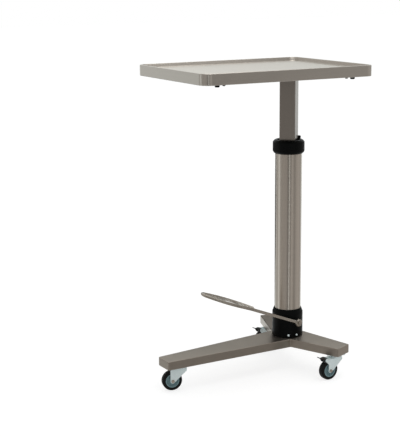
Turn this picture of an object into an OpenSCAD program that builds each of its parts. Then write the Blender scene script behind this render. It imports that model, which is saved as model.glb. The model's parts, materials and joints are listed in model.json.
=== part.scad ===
// Height adjustable instrument table: a recessed steel tray on a swivelling head,
// a square mast that slides in a round column, a foot pump and a three legged base on casters.
// The column axis is the working axis, and the long leg of the base points along -X.

/* [Tray] */
// Length of the tray over its rim
tray_length = 700; // [560:10:900]
// Width of the tray over its rim
tray_width = 530; // [440:10:700]
// Height of the folded rim
rim_height = 40; // [34:1:60]
// Width of the flat top of the rim
rim_width = 9; // [6:0.5:14]
// Run of the slope from the rim down to the floor
rim_slope = 5; // [2:0.5:8]
// Depth of the tray floor below the top of the rim
tray_depth = 14; // [8:1:18]
// Outer corner radius of the tray
tray_corner = 35; // [28:1:60]
// Thickness of the tray sheet
tray_sheet = 1.5; // [1:0.1:2.5]
// Width of the hem folded in at the bottom of the rim
rim_hem = 12; // [6:1:18]
// Distance from the column axis to the middle of the tray
tray_offset = 152; // [80:2:190]
// Angle of the tray from the line of the long leg, as it stands
tray_turn = -3.5; // [-90:0.5:90]

/* [Tray carrier] */
// Distance of each carrier rail from the middle of the tray
rail_inset = 225; // [170:1:226]
// Length of the carrier rails
rail_length = 580; // [480:5:620]
// Width of a carrier rail
rail_width = 20; // [16:1:30]
// How far the rails reach below the rim
rail_drop = 3; // [1:0.5:8]
// Wall of the carrier rails
rail_wall = 2; // [1.5:0.5:4]
// Distance of each rubber buffer from the end of its rail
buffer_inset = 12; // [10:1:60]
// Diameter of a rubber buffer
buffer_d = 17; // [10:1:20]
// Height of a rubber buffer
buffer_h = 7; // [5:1:12]
// Distance between a buffer and the carrier screw next to it
carrier_screw_gap = 26; // [18:1:90]
// Width of the carrier cross bars
cross_width = 28; // [20:1:40]
// Height of the carrier cross bars
cross_height = 12; // [10:1:14]
// Side of the square carrier plate
carrier_plate = 150; // [130:2:170]
// Thickness of the carrier plate
carrier_plate_t = 5; // [4:0.5:6]

/* [Mast] */
// Side of the square mast tube
mast_side = 60; // [50:1:62]
// Wall of the mast tube
mast_wall = 3; // [2:0.5:4]
// Outer corner radius of the mast tube
mast_corner = 4; // [2:0.5:6]
// Angle of the mast tube about the column axis
mast_turn = 41.5; // [0:0.5:90]
// Height of the top of the rim above the base, as it stands
tray_lift = 1053; // [960:1:1110]
// How far the mast can sink from where it stands
travel_down = 235; // [150:5:240]
// How far the mast can rise from where it stands
travel_up = 65; // [20:5:80]
// Length of the mast tube
mast_length = 530; // [500:5:560]
// Diameter of the round plate on top of the mast
head_d = 90; // [86:1:92]
// Thickness of the round plate on top of the mast
head_t = 5; // [4:0.5:8]
// Diameter of the swivel spigot
spigot_d = 40; // [30:1:46]
// Thickness of the swivel washer
washer_t = 2; // [1.5:0.5:4]

/* [Column] */
// Outer diameter of the column tube
column_d = 101.6; // [98:0.1:106]
// Wall of the column tube
column_wall = 3; // [2:0.5:4]
// Height of the column tube above the base, up to the lower edge of the collar
column_height = 715; // [690:5:740]
// Diameter of the collar
collar_d = 120; // [114:1:130]
// Height of the collar
collar_height = 52; // [44:1:60]
// Chamfer round the top and bottom of the collar
collar_chamfer = 8; // [4:0.5:9]
// How far the column tube reaches into the collar
collar_overlap = 33; // [20:1:36]
// Distance of the clamp knob from the edge of the collar
knob_edge = 5; // [4:0.5:7]
// Diameter of the clamp knob on the collar
knob_d = 13; // [10:1:16]
// Height of the clamp knob
knob_h = 10.5; // [8:0.5:11]

/* [Pump] */
// Diameter of the pump housing
housing_d = 118; // [114:1:126]
// Height of the straight part of the pump housing
housing_height = 94; // [88:1:110]
// Height of the cone between the housing and the column
housing_cone = 17; // [10:1:24]
// Wall of the pump housing
housing_wall = 3; // [2:0.5:4]
// Height of the housing screws above the base
housing_screw_z = 11; // [8:1:16]
// Angle of the middle of each pair of housing screws from the heel's line
housing_screw_angle = 105; // [80:1:120]
// Angle between the two housing screws of a pair
housing_screw_spread = 33; // [24:1:50]
// Outer diameter of the lift cylinder
cylinder_d = 42; // [36:1:44]
// Wall of the lift cylinder
cylinder_wall = 5; // [3:0.5:6]
// Length of the lift cylinder
cylinder_length = 380; // [360:5:385]
// Diameter of the lift ram
ram_d = 25; // [18:1:28]
// Height of the pump block
pump_height = 108; // [104:1:116]

/* [Pedal] */
// Height of the pedal shaft above the base
pedal_z = 63.5; // [60:0.5:70]
// Distance from the column axis to the line of the pedal rod
pedal_side = 73; // [70:1:84]
// Diameter of the pedal rod
rod_d = 12; // [10:0.5:14]
// Rise of the pedal rod
pedal_rise = 20.8; // [18:0.2:30]
// Angle by which the pedal rod leans in over the long leg
pedal_lean = 14; // [0:1:16]
// Distance along the pedal from its shaft to where the foot loop starts
loop_start = 187; // [160:1:210]
// Distance along the pedal to the widest place of the loop
loop_middle = 300; // [270:2:330]
// Distance along the pedal to the tip of the loop
loop_reach = 412; // [390:1:450]
// Width of the foot loop between the middles of its rails
loop_width = 76; // [60:1:90]
// How far the near rail of the loop bows out from the line of the rod
loop_bow = 17; // [6:1:20]
// Distance between the rails where the loop starts
loop_neck = 30; // [24:1:44]
// Radius of the tip of the loop
loop_tip_r = 20; // [14:1:26]
// Thickness of the tread plate in the loop
tread_t = 4; // [3:0.5:6]
// Distance from the start of the loop to the open slot in the tread
tread_slot_start = 77; // [70:1:90]
// Length of the open slot in the tread
tread_slot = 50; // [30:1:60]
// Width of plate left between the open slot and each rail
tread_band = 12; // [8:1:16]
// Width of the bridge between the open slot and the eye
tread_bridge = 24; // [10:1:30]
// Length of the eye near the tip of the loop
tread_eye = 34; // [20:1:36]
// Width of the eye near the tip of the loop
tread_eye_w = 19; // [10:1:24]
// Diameter of the ribs on the tread
rib_d = 5; // [4:0.5:6]
// Distance between the ribs on the tread
rib_pitch = 15; // [10:1:20]
// Travel of the pedal when it is pressed
pedal_travel = 20; // [12:1:20]
// Diameter of the pedal boss
boss_d = 28; // [24:1:40]
// Diameter of the pedal shaft
shaft_d = 14; // [12:0.5:16]
// Reach of the crank that works the plunger
crank_reach = 22; // [18:1:24]
// Diameter of the pump plunger
plunger_d = 14; // [10:1:16]

/* [Base] */
// Distance from the column axis to the end of the long leg
long_leg_reach = 558; // [480:2:640]
// Width of the long leg at its end
long_leg_end = 74; // [70:1:90]
// Width of the long leg where it meets the short legs
long_leg_root = 129; // [120:1:150]
// Distance of the inner corners from the column axis, along the long leg
notch_reach = 30; // [20:1:40]
// Distance from the column axis to the end of a short leg
short_leg_reach = 259; // [250:1:300]
// Angle of a short leg from the heel
short_leg_angle = 71; // [66:1:76]
// Width of a short leg at its end
short_leg_end = 76; // [72:1:96]
// Distance from the column axis to the heel
heel_reach = 71; // [66:1:90]
// Height of the legs
leg_height = 32; // [28:1:40]
// Wall of the legs
leg_wall = 3; // [2:0.5:4]
// Radius of the upright edges of the legs
leg_corner = 4; // [3:0.5:8]
// Thickness of the plates inside the leg ends
leg_plate = 8; // [6:1:12]

/* [Casters] */
// Diameter of a wheel
wheel_d = 75; // [70:1:77]
// Width of a tyre
tyre_width = 24; // [20:1:24]
// Diameter of the wheel hub
hub_d = 52; // [44:1:56]
// Distance between a swivel axis and its axle
trail = 36; // [30:1:38]
// Gap between a tyre and the top of its fork
wheel_gap = 5.5; // [3:0.5:10]
// Height of a swivel bearing
bearing_h = 5.2; // [4:0.2:10]
// Gap between the cheeks of a fork
fork_gap = 27; // [26.4:0.2:31]
// Thickness of the fork sheet
fork_sheet = 2.5; // [2:0.1:3]
// Side of the square caster plate
caster_plate_side = 56; // [54:1:60]
// Thickness of the caster plate
caster_plate_t = 3; // [2:0.5:4]
// Diameter of a wheel axle
axle_d = 8; // [6:0.5:9]
// Distance from the end of the long leg to its swivel axis
long_caster_inset = 74; // [66:1:90]
// Angle of the long leg's caster about its swivel axis, as it stands
long_caster_turn = -15; // [-180:1:180]
// Distance from the column axis to a short leg's swivel axis
short_caster_reach = 228; // [215:1:240]
// Angle of a short leg's swivel axis from the heel
short_caster_angle = 72; // [68:1:74]
// Reach of a brake lever from the swivel axis
brake_reach = 80; // [74:1:100]
// Width of a brake lever
brake_width = 26; // [20:1:26]

/* [Hidden] */
$fn = 64;

// Clearances
running = 0.05;   // radial gap of a shaft in its bore
seat = 0.3;       // gap between pieces that move past or lie close to each other
tight = 0.1;      // gap of a piece pushed into its seat

steel = [0.66, 0.63, 0.59];
tray_steel = [0.80, 0.78, 0.75];
zinc = [0.70, 0.75, 0.76];
black = [0.07, 0.08, 0.08];
hub_grey = [0.28, 0.36, 0.38];
nylon = [0.85, 0.84, 0.80];
chrome = [0.80, 0.81, 0.82];

// Heights, all above the floor
crown_t = 3;
race_h = 3;
axle_z = wheel_d/2;
crown_z = wheel_d + wheel_gap;
bearing_bottom = crown_z + crown_t + race_h + seat;
leg_bottom = bearing_bottom + bearing_h + caster_plate_t;
leg_top = leg_bottom + leg_height;
collar_bottom = leg_top + column_height;
collar_top = collar_bottom + collar_height;
column_top = collar_bottom + collar_overlap;
tray_top = leg_top + tray_lift;
rim_bottom = tray_top - rim_height;
floor_under = tray_top - tray_depth - tray_sheet;
carrier_top = floor_under;
plate_top = carrier_top - cross_height;
plate_bottom = plate_top - carrier_plate_t;
head_top = plate_bottom - washer_t;
mast_top = head_top - head_t;
mast_bottom = mast_top - mast_length;
rail_bottom = rim_bottom - rail_drop;
pump_top = leg_top + pump_height;
cylinder_top = pump_top + cylinder_length;
gland_height = 20;
gland_top = cylinder_top + gland_height;
ram_seat_height = 20;
ram_top = gland_top + travel_down + 5;
ram_bottom = cylinder_top - travel_up - 30;
shaft_z = leg_top + pedal_z;

// Where the column axis lies, so that the origin is the middle of the footprint
turn_cos = abs(cos(tray_turn));
turn_sin = abs(sin(tray_turn));
tray_half_x = (tray_length/2 - tray_corner)*turn_cos + (tray_width/2 - tray_corner)*turn_sin + tray_corner;
tray_half_y = (tray_length/2 - tray_corner)*turn_sin + (tray_width/2 - tray_corner)*turn_cos + tray_corner;
tray_mid_x = -tray_offset*cos(tray_turn);
tray_mid_y = -tray_offset*sin(tray_turn);
short_corner = short_leg_reach*[cos(short_leg_angle), sin(short_leg_angle)];
end_half = short_leg_end/2*[sin(short_leg_angle), cos(short_leg_angle)];
outer_corner = short_corner + [end_half.x, -end_half.y];
inner_corner = short_corner + [-end_half.x, end_half.y];
tyre_round = 5;
wheel_half_x = (wheel_d/2 - tyre_round)*abs(cos(long_caster_turn))
    + (tyre_width/2 - tyre_round)*abs(sin(long_caster_turn)) + tyre_round;
wheel_low_x = long_caster_inset - long_leg_reach - trail*cos(long_caster_turn) - wheel_half_x;
x_low = min(-long_leg_reach, wheel_low_x, tray_mid_x - tray_half_x);
x_high = max(outer_corner.x, tray_mid_x + tray_half_x);
y_low = min(-inner_corner.y, tray_mid_y - tray_half_y);
y_high = max(inner_corner.y, tray_mid_y + tray_half_y);
column_x = -(x_low + x_high)/2;
column_y = -(y_low + y_high)/2;

// Swivel axes of the casters, from the column axis
long_spot = [-(long_leg_reach - long_caster_inset), 0];
near_spot = short_caster_reach*[cos(short_caster_angle), -sin(short_caster_angle)];
far_spot = [near_spot.x, -near_spot.y];

// Puts a piece on the column axis
module at_column(z = 0) {
    translate([column_x, column_y, z]) children();
}

// Puts a piece in the frame of the tray's middle
module at_tray(z = 0) {
    at_column(z) rotate([0, 0, tray_turn]) translate([-tray_offset, 0, 0]) children();
}

// Puts a piece in the frame of the tray's swivel
module at_swivel(z = 0) {
    at_column(z) rotate([0, 0, tray_turn]) children();
}

module at_mast(z = 0) {
    at_column(z) rotate([0, 0, mast_turn]) children();
}

module tube(outer_d, inner_d, h) {
    difference() {
        cylinder(d = outer_d, h = h);
        translate([0, 0, -1]) cylinder(d = inner_d, h = h + 2);
    }
}

// Flat rectangle with round corners, about the origin
module round_rect(x, y, r) {
    square([x - 2*r, y], center = true);
    square([x, y - 2*r], center = true);
    for (sx = [-1, 1], sy = [-1, 1])
        translate([sx*(x/2 - r), sy*(y/2 - r)]) circle(r);
}

// Polygon with its corners rounded by arcs, given as points and one radius
function unit(v) = v/norm(v);
function corner_arc(a, b, c, r, steps = 6) =
    let (
        u = unit(a - b),
        v = unit(c - b),
        half = acos(u*v)/2,
        centre = b + unit(u + v)*r/sin(half),
        p = b + u*r/tan(half) - centre,
        q = b + v*r/tan(half) - centre,
        start = atan2(p.y, p.x),
        turn = atan2(p.x*q.y - p.y*q.x, p*q)
    )
    [for (i = [0 : steps]) centre + r*[cos(start + turn*i/steps), sin(start + turn*i/steps)]];
function rounded(points, r) =
    let (n = len(points))
    [for (i = [0 : n - 1]) each corner_arc(points[(i + n - 1)%n], points[i], points[(i + 1)%n], r)];

// Point where a line from p touches a circle, on the side given by +1 or -1
function touch(centre, r, p, side) =
    let (d = p - centre, a = atan2(d.y, d.x) + side*acos(r/norm(d)))
    centre + r*[cos(a), sin(a)];

function mirrored(points) = [for (i = [len(points) - 1 : -1 : 0]) [points[i].x, -points[i].y]];

// Outline of the base, from the near end of the long leg round to its far end
near_side = [
    [-long_leg_reach, -long_leg_end/2],
    [-notch_reach, -long_leg_root/2],
    [inner_corner.x, -inner_corner.y],
    [outer_corner.x, -outer_corner.y]
];
base_outline = concat(near_side, [[heel_reach, 0]], mirrored(near_side));

// An outline moved in by t: each edge shifts along its own normal
function edge_in(a, b, t) = let (d = unit(b - a)) [a + t*[-d.y, d.x], b + t*[-d.y, d.x]];
function meet(e, f) =
    let (p = e[1] - e[0], q = f[1] - f[0], w = f[0] - e[0], s = (w.x*q.y - w.y*q.x)/(p.x*q.y - p.y*q.x))
    e[0] + s*p;
function moved_in(points, t) =
    let (n = len(points), edges = [for (i = [0 : n - 1]) edge_in(points[i], points[(i + 1)%n], t)])
    [for (i = [0 : n - 1]) meet(edges[(i + n - 1)%n], edges[i])];
inner_outline = moved_in(base_outline, leg_wall);

module base_shell() {
    color(steel) at_column(leg_bottom) difference() {
        linear_extrude(leg_height) polygon(rounded(base_outline, leg_corner));
        translate([0, 0, -1]) linear_extrude(leg_height - leg_wall + 1) polygon(inner_outline);
    }
}

// Plate under the top of the base that the column stands on
module base_centre_plate() {
    color(zinc) at_column(leg_top - leg_wall - leg_plate) tube(head_d + 10, 12, leg_plate);
}

// Plates welded across the leg ends, which the casters are screwed to
leg_plate_margin = 14;
module leg_end_plates() {
    reach = caster_plate_side/2 + leg_plate_margin;
    color(zinc) at_column(leg_bottom) for (spot = [long_spot, near_spot, far_spot])
        linear_extrude(leg_plate) intersection() {
            polygon(moved_in(base_outline, leg_wall + tight));
            translate(spot) circle(reach);
        }
}

module caster_screws() {
    color(zinc) at_column() for (spot = [long_spot, near_spot, far_spot]) on_leg(spot)
        for (sx = [-1, 1], sy = [-1, 1])
            translate([sx*screw_pitch/2, sy*screw_pitch/2, leg_bottom - caster_plate_t - screw_head_h])
                cylinder(d = screw_head_d, h = screw_head_h);
}

// Column and pump

module column_tube() {
    color(steel) at_column(leg_top) difference() {
        tube(column_d, column_d - 2*column_wall, column_top - leg_top);
        translate([0, 0, pedal_z]) rotate([90, 0, 0]) cylinder(d = bush_d + 2*seat, h = column_d);
    }
}

ring_height = 22;
module socket_ring() {
    color(zinc) at_column(leg_top)
        tube(housing_d - 2*housing_wall - 2*tight, column_d + 2*tight, ring_height);
}

lip_t = 1.5;
lip_h = 3;
module pump_housing() {
    r = housing_d/2;
    top_r = column_d/2 + seat;
    color(black) at_column(leg_top) difference() {
        rotate_extrude() polygon([
            [r - housing_wall, 0],
            [r, 0],
            [r, housing_height],
            [top_r + lip_t, housing_height + housing_cone],
            [top_r, housing_height + housing_cone],
            [top_r, housing_height + housing_cone - lip_h],
            [r - housing_wall, housing_height - 1]
        ]);
        translate([0, 0, pedal_z]) rotate([90, 0, 0]) cylinder(d = bush_d + 2*seat, h = housing_d);
        for (side = [-1, 1], pair = [-1, 1])
            rotate([0, 0, side*(housing_screw_angle + pair*housing_screw_spread/2)])
                translate([r - 2*housing_wall, 0, housing_screw_z]) rotate([0, 90, 0])
                    cylinder(d = housing_screw_d + 2*tight, h = 3*housing_wall);
    }
}

housing_screw_d = 5;
housing_head_d = 9;
housing_head_h = 2.5;
module housing_screws() {
    color(zinc) at_column(leg_top)
        for (side = [-1, 1], pair = [-1, 1])
            rotate([0, 0, side*(housing_screw_angle + pair*housing_screw_spread/2)])
                translate([housing_d/2 - housing_wall, 0, housing_screw_z]) rotate([0, 90, 0]) {
                    cylinder(d = housing_screw_d, h = housing_wall);
                    translate([0, 0, housing_wall])
                        cylinder(d1 = housing_head_d, d2 = housing_head_d - 3, h = housing_head_h);
                }
}

// Block that holds the pump: a slot for the crank, a bore for the shaft and one for the plunger
pump_d = column_d - 2*column_wall - 4;
slot_half = 7;
module pump_body() {
    color(zinc) at_column(leg_top) difference() {
        cylinder(d = pump_d, h = pump_height);
        translate([0, 0, pedal_z]) rotate([90, 0, 0])
            translate([0, 0, -20]) cylinder(d = shaft_d + 2*running, h = pump_d);
        translate([-crank_reach - plunger_d, -slot_half - seat, pedal_z - crank_drop - tip_r - 10])
            cube([
                crank_reach + plunger_d + boss_r + 2, 2*(slot_half + seat),
                crank_drop + boss_r + tip_r + 12
            ]);
        translate([-crank_reach, 0, bore_floor]) cylinder(d = plunger_d + 2*running, h = pedal_z);
    }
}

// The crank arm swings evenly about level, so its tip moves almost straight down
boss_r = 12;
tip_r = 6;
bore_floor = 8;
nose_h = 6;
crank_drop = crank_reach*sin(pedal_travel/2);
plunger_top = shaft_z + crank_drop - tip_r - seat;
module pump_plunger() {
    stroke = 2*crank_drop;
    stem = plunger_top - leg_top - bore_floor - stroke - nose_h - 4;
    color(zinc) at_column() translate([-crank_reach, 0, plunger_top - nose_h - stem]) {
        cylinder(d = plunger_d, h = stem);
        translate([0, 0, stem]) cylinder(d1 = plunger_d - 1, d2 = plunger_d - 5, h = nose_h);
    }
}

module pedal_crank() {
    color(zinc) at_column(shaft_z) rotate([0, pedal_travel/2, 0]) rotate([90, 0, 0])
        translate([0, 0, -slot_half]) difference() {
            union() {
                cylinder(r = boss_r, h = 2*slot_half);
                translate([-crank_reach, 0, 0]) cylinder(r = tip_r, h = 2*slot_half);
                linear_extrude(2*slot_half) polygon([
                    [0, boss_r - 4], [0, 4 - boss_r],
                    [-crank_reach, 2.5 - tip_r], [-crank_reach, tip_r - 2.5]
                ]);
            }
            translate([0, 0, -1]) cylinder(d = shaft_d, h = 2*slot_half + 2);
        }
}

bush_d = 22;
module pedal_bush() {
    inner_y = pump_d/2 + seat;
    color(zinc) at_column(shaft_z) rotate([90, 0, 0]) translate([0, 0, inner_y]) difference() {
        union() {
            cylinder(d = bush_d, h = housing_d/2 + seat - inner_y + 1);
            translate([0, 0, housing_d/2 + seat - inner_y]) cylinder(d = bush_d + 6, h = 2.5);
        }
        translate([0, 0, -1]) cylinder(d = shaft_d + 2*running, h = housing_d);
    }
}

boss_t = 12;
module pedal_shaft() {
    color(zinc) at_column(shaft_z) rotate([90, 0, 0]) translate([0, 0, -18])
        cylinder(d = shaft_d, h = pedal_side + 18 + boss_t/2 - 2);
}

module pedal_boss() {
    color(steel) at_column(shaft_z) rotate([90, 0, 0]) translate([0, 0, pedal_side - boss_t/2]) difference() {
        rotate_extrude() polygon([
            [0, 0], [boss_d/2 - 1, 0], [boss_d/2, 1], [boss_d/2, boss_t - 2],
            [boss_d/2 - 2, boss_t], [0, boss_t]
        ]);
        translate([0, 0, -1]) cylinder(d = shaft_d, h = boss_t - 1);
    }
}

// Hexagon bolt that holds the boss on its shaft
bolt_d = 13;
bolt_h = 5;
module pedal_bolt() {
    color(zinc) at_column(shaft_z) rotate([90, 0, 0]) translate([0, 0, pedal_side + boss_t/2])
        cylinder(d = bolt_d, h = bolt_h, $fn = 6);
}

// One run of the rod in the plane of the pedal: an arc of the given radius and turn, from a start
// point and heading. A positive turn bends towards the far rail.
module rod_arc(start, heading, r, turn) {
    side = turn > 0 ? 1 : -1;
    centre = start + side*r*[-sin(heading), cos(heading)];
    first = side > 0 ? heading - 90 : heading + 90 + turn;
    translate([centre.x, centre.y, 0]) rotate([0, 0, first])
        rotate_extrude(angle = abs(turn), $fn = 128) translate([r, 0]) circle(d = rod_d, $fn = 32);
}

// The loop is made of arcs that run into each other: the near rail bows out in two arcs,
// a long arc leads to each side of the tip, and one arc brings the far rail in to its end
bow_turn = 2*atan(loop_bow/(loop_middle - loop_start));
bow_r = (loop_middle - loop_start)/(2*sin(bow_turn));
tip_x = loop_reach - rod_d/2;
side_turn = 2*atan((loop_width/2 - loop_tip_r)/(tip_x - loop_tip_r - loop_middle));
side_r = (tip_x - loop_tip_r - loop_middle)/sin(side_turn) + loop_tip_r;
far_top = loop_width - loop_bow;
far_turn = 2*atan((far_top - loop_neck)/(loop_middle - loop_start));
far_r = (loop_middle - loop_start)/sin(far_turn);
bow_mid = [(loop_start + loop_middle)/2, -loop_bow/2];
side_end = [loop_middle + side_r*sin(side_turn), side_r*(1 - cos(side_turn)) - loop_bow];
loop_axis = far_top - loop_width/2;

// Outline of the tread, along the middles of the rails
function arc_points(centre, r, from, to, steps) =
    [for (i = [0 : steps]) centre + r*[cos(from + (to - from)*i/steps), sin(from + (to - from)*i/steps)]];
tread_outline = concat(
    arc_points([loop_start, -bow_r], bow_r, 90, 90 - bow_turn, 4),
    arc_points([loop_middle, bow_r - loop_bow], bow_r, 270 - bow_turn, 270, 4),
    arc_points([loop_middle, side_r - loop_bow], side_r, 270, 270 + side_turn, 5),
    arc_points([tip_x - loop_tip_r, loop_axis], loop_tip_r, side_turn - 90, 90 - side_turn, 8),
    arc_points([loop_middle, far_top - side_r], side_r, 90 - side_turn, 90, 5),
    arc_points([loop_middle, far_top - far_r], far_r, 90, 90 + far_turn, 6)
);

module pedal_plane() {
    at_column(shaft_z) translate([0, -pedal_side, 0]) rotate([0, 0, 180 - pedal_lean])
        rotate([0, -pedal_rise, 0]) mirror([0, 1, 0]) children();
}

module pedal_lever() {
    color(steel) pedal_plane() {
        translate([boss_d/2 - 1, 0, 0]) rotate([0, 90, 0])
            cylinder(d = rod_d, h = loop_start - boss_d/2 + 1, $fn = 32);
        rod_arc([loop_start, 0], 0, bow_r, -bow_turn);
        rod_arc(bow_mid, -bow_turn, bow_r, bow_turn);
        rod_arc([loop_middle, -loop_bow], 0, side_r, side_turn);
        rod_arc(side_end, side_turn, loop_tip_r, 180 - 2*side_turn);
        rod_arc([side_end.x, 2*loop_axis - side_end.y], 180 - side_turn, side_r, side_turn);
        rod_arc([loop_middle, far_top], 180, far_r, far_turn);
        for (p = [[loop_start, 0], bow_mid, [loop_middle, -loop_bow], side_end,
                [side_end.x, 2*loop_axis - side_end.y], [loop_middle, far_top]])
            translate([p.x, p.y, 0]) sphere(d = rod_d + 0.3, $fn = 32);
    }
}

// Where the middles of the rails lie across the pedal, at a distance along it
function far_rail(u) = far_top - far_r + sqrt(pow(far_r, 2) - pow(u - loop_middle, 2));
function near_rail(u) = u < bow_mid.x
    ? sqrt(pow(bow_r, 2) - pow(u - loop_start, 2)) - bow_r
    : bow_r - loop_bow - sqrt(pow(bow_r, 2) - pow(u - loop_middle, 2));

// Plate welded in the loop: ribs on its inner part, then an open slot, a bridge and an eye
rib_count = 5;
module pedal_tread() {
    slot_from = loop_start + tread_slot_start;
    slot_wide = loop_width - rod_d - 2*tread_band;
    eye_r = tread_eye_w/2;
    eye_from = slot_from + tread_slot + tread_bridge;
    color(steel) pedal_plane() {
        translate([0, 0, -tread_t/2]) linear_extrude(tread_t) difference() {
            polygon(tread_outline);
            translate([slot_from, loop_axis - slot_wide/2]) square([tread_slot, slot_wide]);
            translate([eye_from, loop_axis]) {
                translate([eye_r, 0]) circle(eye_r);
                translate([tread_eye - eye_r, 0]) circle(eye_r);
                translate([eye_r, -eye_r]) square([tread_eye - tread_eye_w, tread_eye_w]);
            }
        }
        for (i = [1 : rib_count]) let (u = slot_from - i*rib_pitch)
            translate([u, near_rail(u), tread_t/2]) rotate([-90, 0, 0])
                cylinder(d = rib_d, h = far_rail(u) - near_rail(u));
    }
}

module lift_cylinder() {
    color(zinc) at_column(pump_top) difference() {
        cylinder(d = cylinder_d, h = cylinder_length);
        translate([0, 0, 10]) cylinder(d = cylinder_d - 2*cylinder_wall, h = cylinder_length);
    }
}

module cylinder_gland() {
    color(black) at_column(cylinder_top) tube(cylinder_d, ram_d + 2*running, gland_height);
}

// Collar

module collar() {
    r = collar_d/2;
    c = collar_chamfer;
    color(black) at_column(collar_bottom) difference() {
        rotate_extrude() polygon([
            [0, 0], [r - c/2, 0], [r, c/2], [r, collar_height - c], [r - c, collar_height], [0, collar_height]
        ]);
        translate([0, 0, -1]) cylinder(d = column_d + 2*seat, h = collar_overlap + 1);
        translate([0, 0, -1]) cylinder(d = column_d - 0.5, h = collar_overlap + flange_t + seat + 1);
        rotate([0, 0, mast_turn]) translate([0, 0, collar_height/2])
            linear_extrude(collar_height + 2, center = true) square(mast_side + 4*seat, center = true);
        translate([knob_x, 0, collar_height - 10]) cylinder(d = knob_stem_d + 2*running, h = 20);
    }
}

flange_t = 4;
guide_depth = 50;
module guide_bush() {
    color(nylon) at_column(column_top - guide_depth) difference() {
        union() {
            cylinder(d = column_d - 2*column_wall - 2*tight, h = guide_depth);
            translate([0, 0, guide_depth]) cylinder(d = column_d - 1, h = flange_t);
        }
        rotate([0, 0, mast_turn]) translate([0, 0, -1])
            linear_extrude(guide_depth + flange_t + 2) square(mast_side + 2*seat, center = true);
    }
}

knob_stem_d = 5;
knob_x = collar_d/2 - knob_edge - knob_d/2;
module collar_knob() {
    color(black) at_column(collar_top) translate([knob_x, 0, 0]) {
        difference() {
            translate([0, 0, seat]) rotate_extrude() polygon([
                [0, 0], [knob_d/2 - 1, 0], [knob_d/2, 1], [knob_d/2, knob_h - 2.5],
                [knob_d/2 - 2, knob_h - seat], [0, knob_h - seat]
            ]);
            for (a = [0 : 30 : 330]) rotate([0, 0, a]) translate([knob_d/2 + 0.6, 0, -1])
                cylinder(d = 2.4, h = knob_h + 2);
        }
        translate([0, 0, -9]) cylinder(d = knob_stem_d, h = 9 + 1);
    }
}

// Mast

module mast_tube() {
    inner = mast_side - 2*mast_wall;
    color(steel) at_mast(mast_bottom) linear_extrude(mast_length) difference() {
        round_rect(mast_side, mast_side, mast_corner);
        round_rect(inner, inner, max(mast_corner - mast_wall, 0.5));
    }
}

// Round plate on the mast, with the spigot that the tray swivels on
nut_t = 6;
module mast_head() {
    color(zinc) at_column(mast_top) {
        cylinder(d = head_d, h = head_t);
        cylinder(d = spigot_d, h = head_t + washer_t + carrier_plate_t + seat + nut_t);
    }
}

module swivel_washer() {
    color(nylon) at_column(head_top) tube(head_d - 4, spigot_d + 2*tight, washer_t - tight);
}

module ram_seat() {
    inner = mast_side - 2*mast_wall - 2*tight;
    color(zinc) at_mast(ram_top) linear_extrude(ram_seat_height) round_rect(inner, inner, mast_corner);
}

module lift_ram() {
    bore = cylinder_d - 2*cylinder_wall;
    color(chrome) at_column(ram_bottom) {
        cylinder(d = ram_d, h = ram_top - ram_bottom);
        cylinder(d = bore - 2*seat, h = 20);
    }
}

foot_h = 50;
foot_lip = 4;
module mast_foot() {
    color(nylon) at_mast(mast_bottom - foot_lip) difference() {
        cylinder(d = column_d - 2*column_wall - 2*seat, h = foot_h);
        translate([0, 0, -1]) cylinder(d = cylinder_d + 2, h = foot_h);
        translate([0, 0, foot_lip]) linear_extrude(foot_h)
            round_rect(mast_side + 2*tight, mast_side + 2*tight, mast_corner);
    }
}

// Tray

module tray_carrier() {
    cross_x = carrier_plate/2 - cross_width/2;
    rail_height = carrier_top - rail_bottom;
    color(black) {
        at_tray(rail_bottom) for (side = [-1, 1]) translate([0, side*rail_inset, rail_height/2])
            rotate([90, 0, 90]) linear_extrude(rail_length, center = true) difference() {
                square([rail_width, rail_height], center = true);
                square([rail_width - 2*rail_wall, rail_height - 2*rail_wall], center = true);
            }
        at_swivel(plate_top) for (side = [-1, 1])
            translate([side*cross_x - cross_width/2, rail_width/2 - rail_inset, 0])
                cube([cross_width, 2*rail_inset - rail_width, cross_height]);
        at_swivel(plate_bottom) linear_extrude(carrier_plate_t) difference() {
            square(carrier_plate, center = true);
            circle(d = spigot_d + 2*running);
        }
    }
}

module swivel_nut() {
    color(zinc) at_column(plate_top + seat) linear_extrude(nut_t) difference() {
        circle(d = spigot_d + 14);
        circle(d = spigot_d);
        for (a = [0 : 90 : 270]) rotate([0, 0, a])
            translate([spigot_d/2 + 7, 0]) square([6, 5], center = true);
    }
}

module tray_buffers() {
    color(black) at_tray(rail_bottom - buffer_h) for (sx = [-1, 1], sy = [-1, 1])
        translate([sx*(rail_length/2 - buffer_inset), sy*rail_inset, 0])
            rotate_extrude() polygon([
                [0, 0], [buffer_d/2 - 2, 0], [buffer_d/2, 2], [buffer_d/2, buffer_h], [0, buffer_h]
            ]);
}

carrier_screw_d = 12;
carrier_screw_h = 4;
module carrier_screws() {
    reach = rail_length/2 - buffer_inset - carrier_screw_gap;
    color(black) at_tray(rail_bottom - carrier_screw_h) for (sx = [-1, 1], sy = [-1, 1])
        translate([sx*reach, sy*rail_inset, 0])
            cylinder(d1 = carrier_screw_d - 3, d2 = carrier_screw_d, h = carrier_screw_h);
}

// Basin with sloping sides: x, y and r at its top, and each side moves in by run over its depth
module basin(x, y, r, run, depth) {
    for (prism = [[x, y, 0], [y, x, 90]]) let (length = prism[0], half = prism[1]/2)
        rotate([0, 0, prism[2]]) rotate([90, 0, 90]) linear_extrude(length - 2*r, center = true)
            polygon([[-half, 0], [half, 0], [half - run, -depth], [run - half, -depth]]);
    for (sx = [-1, 1], sy = [-1, 1])
        translate([sx*(x/2 - r), sy*(y/2 - r), -depth]) cylinder(r1 = r - run, r2 = r, h = depth);
}

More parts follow.
